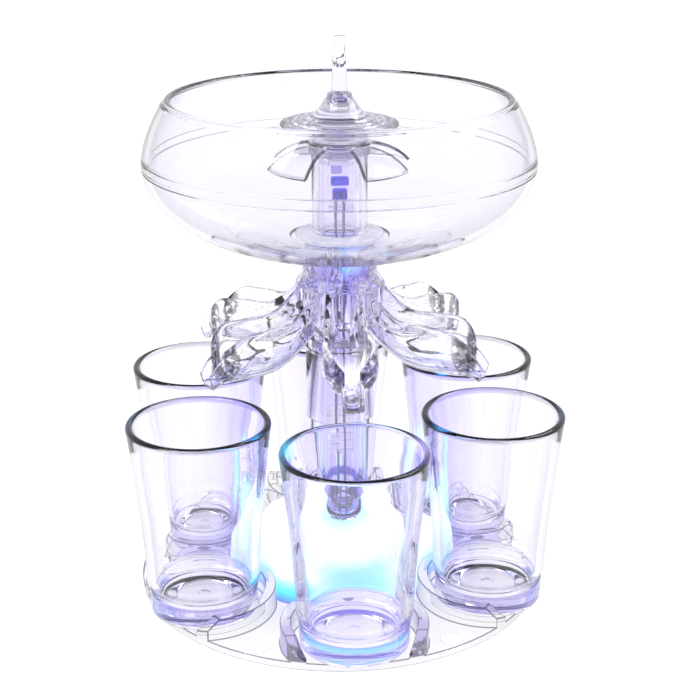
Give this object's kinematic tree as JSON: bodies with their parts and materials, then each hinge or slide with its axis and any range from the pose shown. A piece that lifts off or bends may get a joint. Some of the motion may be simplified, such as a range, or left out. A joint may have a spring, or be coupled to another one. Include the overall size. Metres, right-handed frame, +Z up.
{
  "type": "drink dispenser",
  "caption": "Clear table-top shot dispenser: a lidless bowl with a pull-up stopper drains through a lit hub and leaf-shaped troughs into shot glasses held in cradles on a round tray.",
  "frame": {"origin": "centre of the round tray on the surface that its feet stand on", "axes": "+Z up along the column; -Y towards the front glass, where glass 1 stands; glasses are numbered anticlockwise seen from above"},
  "size_m": [0.1362, 0.1502, 0.179],
  "materials": {
    "clear_acrylic": "clear, polished",
    "hub_acrylic": "clear, polished, rippled",
    "lit_dome": "pale, lit from inside",
    "light_lens": "clear lens, lit",
    "blue_lens": "clear blue lens, lit",
    "lens_case": "clear",
    "soft_seal": "translucent silicone",
    "foot_rubber": "translucent soft plastic",
    "box_plastic": "fine matt",
    "cover_plastic": "fine matt",
    "cell_sleeve": "shrink sleeve",
    "contact_metal": "nickel plated",
    "screw_steel": "plated",
    "board": "lacquered board",
    "switch_plastic": "fine matt",
    "button_plastic": "smooth",
    "wire": "thin sleeve"
  },
  "bodies": {
    "base": {"base_tray": "clear_acrylic", "base_feet": "foot_rubber", "light_dome": "lit_dome", "battery_box": "box_plastic", "battery_cells": "cell_sleeve", "battery_contacts": "contact_metal", "battery_cover": "cover_plastic", "cover_screws": "screw_steel", "led_board": "board", "base_lights": "light_lens", "switch_block": "switch_plastic", "column_collar": "clear_acrylic", "lower_column": "clear_acrylic", "light_post": "clear_acrylic", "post_wires": "wire", "column_board": "board", "post_light": "blue_lens", "post_light_case": "lens_case"},
    "button": {"switch_button": "button_plastic"},
    "hub": {"hub_sleeve": "clear_acrylic", "spout_hub": "hub_acrylic", "post_seal": "soft_seal", "spout_1": "hub_acrylic", "spout_2": "hub_acrylic", "spout_3": "hub_acrylic", "spout_4": "hub_acrylic", "spout_5": "hub_acrylic", "spout_6": "hub_acrylic"},
    "bowl": {"bowl_lower": "clear_acrylic", "bowl_upper": "clear_acrylic", "bowl_gasket": "soft_seal"},
    "stopper": {"stopper_tube": "clear_acrylic", "foot_seal": "soft_seal", "petal_cap": "clear_acrylic", "ripple_disc": "clear_acrylic", "spire": "clear_acrylic"},
    "cup_1": {"glass_1": "clear_acrylic"},
    "cup_2": {"glass_2": "clear_acrylic"},
    "cup_3": {"glass_3": "clear_acrylic"},
    "cup_4": {"glass_4": "clear_acrylic"},
    "cup_5": {"glass_5": "clear_acrylic"},
    "cup_6": {"glass_6": "clear_acrylic"}
  },
  "joints": [
    {"name": "button_press", "type": "slide", "parent": "base", "child": "button", "axis": [0, 0, 1], "range_m": [0, 0.0012], "stiffness_N_per_m": 400},
    {"name": "hub_lift", "type": "slide", "parent": "base", "child": "hub", "axis": [0, 0, 1], "range_m": [0, 0.09]},
    {"name": "bowl_lift", "type": "slide", "parent": "hub", "child": "bowl", "axis": [0, 0, 1], "range_m": [0, 0.045]},
    {"name": "stopper_lift", "type": "slide", "parent": "bowl", "child": "stopper", "axis": [0, 0, 1], "range_m": [0, 0.035]},
    {"name": "cup_1_out", "type": "slide", "parent": "base", "child": "cup_1", "axis": [0, -0.9063, 0.4226], "range_m": [0, 0.06]},
    {"name": "cup_2_out", "type": "slide", "parent": "base", "child": "cup_2", "axis": [0.7849, -0.4532, 0.4226], "range_m": [0, 0.06]},
    {"name": "cup_3_out", "type": "slide", "parent": "base", "child": "cup_3", "axis": [0.7849, 0.4532, 0.4226], "range_m": [0, 0.06]},
    {"name": "cup_4_out", "type": "slide", "parent": "base", "child": "cup_4", "axis": [0, 0.9063, 0.4226], "range_m": [0, 0.06]},
    {"name": "cup_5_out", "type": "slide", "parent": "base", "child": "cup_5", "axis": [-0.7849, 0.4532, 0.4226], "range_m": [0, 0.06]},
    {"name": "cup_6_out", "type": "slide", "parent": "base", "child": "cup_6", "axis": [-0.7849, -0.4532, 0.4226], "range_m": [0, 0.06]}
  ]
}
